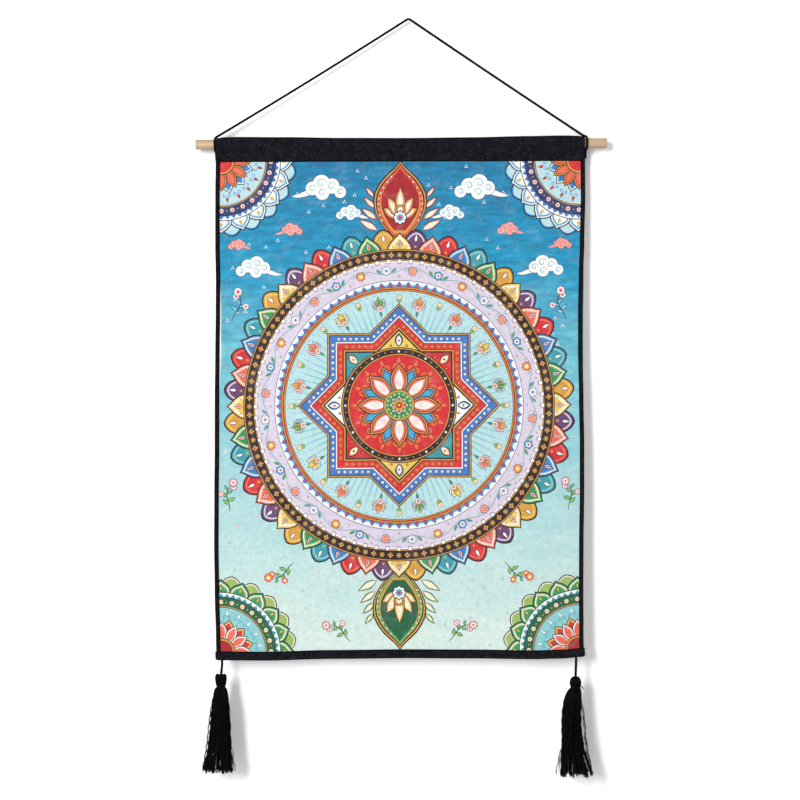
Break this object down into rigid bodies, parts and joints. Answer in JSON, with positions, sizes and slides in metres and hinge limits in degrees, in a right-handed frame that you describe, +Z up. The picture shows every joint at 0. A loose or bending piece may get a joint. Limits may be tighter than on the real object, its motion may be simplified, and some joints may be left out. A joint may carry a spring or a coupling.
{
  "type": "printed cloth wall hanging on a wooden rod",
  "caption": "Flat printed cloth with black bindings, hung from a wooden rod by a cord, with a tassel at each lower corner.",
  "frame": {"origin": "the point that the hanging cord rests on, under the cord's bend at the top", "axes": "+Z up, the printed front faces -Y, +X to the right seen from the front"},
  "size_m": [0.5, 0.035, 0.9238],
  "materials": {
    "wood": "bare pale wood, lightly sanded",
    "canvas": "printed plain-weave canvas, slight sheen",
    "black_cloth": "matt black linen-like plain weave",
    "cord": "black twisted cord",
    "thread": "black twisted thread with a soft sheen"
  },
  "bodies": {
    "root": {"rod": "wood", "heading": "black_cloth", "picture_cloth": "canvas", "left_binding": "black_cloth", "right_binding": "black_cloth", "bottom_band": "black_cloth", "hanging_cord": "cord", "cord_knot_left": "cord", "cord_knot_right": "cord", "tassel_hanger_left": "cord", "tassel_hanger_right": "cord", "tassel_left": "thread", "tassel_right": "thread", "tassel_binding_left": "thread", "tassel_binding_right": "thread"}
  },
  "joints": []
}
